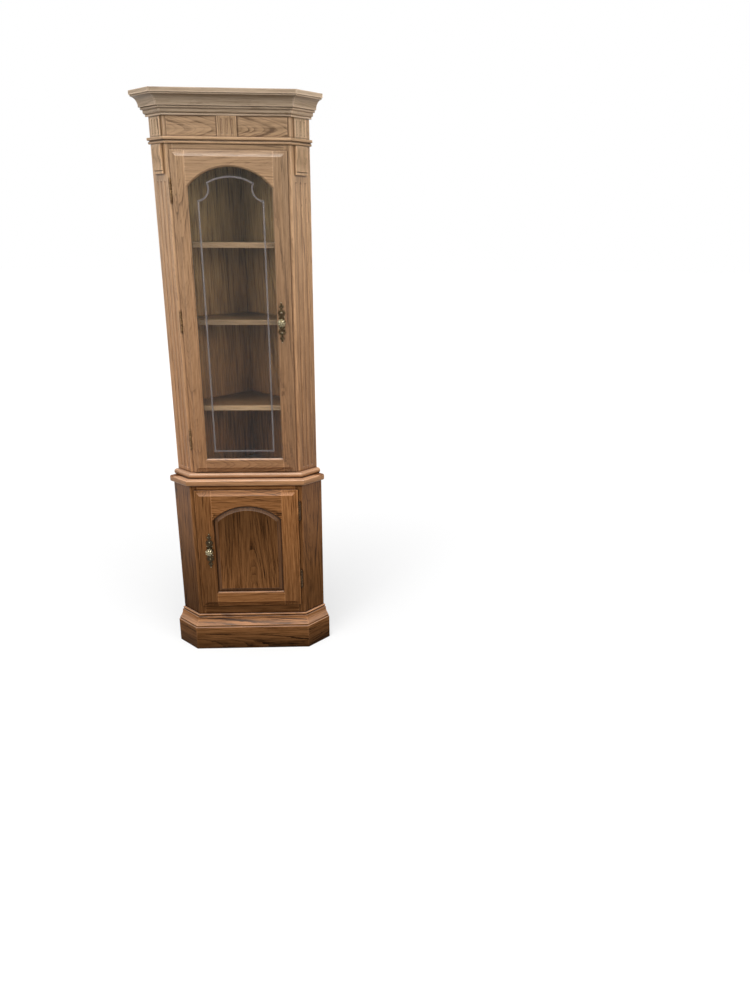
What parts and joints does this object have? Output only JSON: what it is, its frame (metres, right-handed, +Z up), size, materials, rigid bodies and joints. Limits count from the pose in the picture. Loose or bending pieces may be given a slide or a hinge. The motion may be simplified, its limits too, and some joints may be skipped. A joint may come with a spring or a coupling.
{
  "type": "corner curio cabinet",
  "caption": "Tall oak corner cabinet: a display case with shelves behind an arched glazed door, standing on a cupboard with an arched raised panel door.",
  "frame": {"origin": "on the floor, under the middle of the cabinet's box", "axes": "+Z up, front towards -Y, +X to the viewer's right, +Y back into the corner of the room"},
  "size_m": [0.6316, 0.4056, 2.03],
  "materials": {
    "oak": "satin lacquered oak, golden brown",
    "dark_oak": "satin lacquered oak, darker brown",
    "back_oak": "satin lacquered oak veneer inside the case",
    "aged_brass": "antique brown brass",
    "pale_brass": "antique brass, rubbed pale",
    "vinyl": "soft glazing strip",
    "glass": "clear glass with a grey etched line"
  },
  "bodies": {
    "cabinet": {"back_panel_left": "back_oak", "lower_side_left": "dark_oak", "upper_side_left": "oak", "lower_stile_left": "dark_oak", "upper_stile_left": "oak", "base_moulding_left": "dark_oak", "crown_left": "oak", "frieze_block_left": "oak", "corbel_left": "oak", "back_panel_right": "back_oak", "lower_side_right": "dark_oak", "upper_side_right": "oak", "lower_stile_right": "dark_oak", "upper_stile_right": "oak", "base_moulding_right": "dark_oak", "crown_right": "oak", "frieze_block_right": "oak", "corbel_right": "oak", "upper_rail_bottom": "oak", "frieze_rail": "oak", "deck": "oak", "top_panel": "oak", "crown_front": "oak", "waist_moulding": "oak", "string_moulding": "oak", "frieze_board": "oak", "frieze_block_centre": "oak", "lower_rail_bottom": "dark_oak", "lower_rail_top": "dark_oak", "cabinet_bottom": "dark_oak", "base_moulding_front": "dark_oak", "shelf_1": "back_oak", "shelf_2": "back_oak", "shelf_3": "back_oak", "upper_hinge_1_frame_leaf": "aged_brass", "upper_hinge_2_frame_leaf": "aged_brass", "upper_hinge_3_frame_leaf": "aged_brass", "lower_hinge_1_frame_leaf": "aged_brass", "lower_hinge_2_frame_leaf": "aged_brass"},
    "upper_door": {"upper_door_stile_left": "oak", "upper_door_stile_right": "oak", "upper_door_rail_top": "oak", "upper_door_rail_bottom": "oak", "upper_door_glass": "glass", "upper_door_glass_retainer": "vinyl", "upper_knob": "pale_brass", "upper_backplate": "aged_brass", "upper_hinge_1_door_leaf": "aged_brass", "upper_hinge_2_door_leaf": "aged_brass", "upper_hinge_3_door_leaf": "aged_brass"},
    "lower_door": {"lower_door_stile_left": "dark_oak", "lower_door_stile_right": "dark_oak", "lower_door_rail_top": "dark_oak", "lower_door_rail_bottom": "dark_oak", "lower_door_panel": "dark_oak", "lower_knob": "pale_brass", "lower_backplate": "aged_brass", "lower_hinge_1_door_leaf": "aged_brass", "lower_hinge_2_door_leaf": "aged_brass"}
  },
  "joints": [
    {"name": "upper_door_hinge", "type": "hinge", "parent": "cabinet", "child": "upper_door", "pos_m": [-0.1995, -0.13315, 1.2955], "axis": [0, 0, -1], "range_deg": [0, 105]},
    {"name": "lower_door_hinge", "type": "hinge", "parent": "cabinet", "child": "lower_door", "pos_m": [0.2025, -0.16175, 0.4255], "axis": [0, 0, 1], "range_deg": [0, 105]}
  ]
}
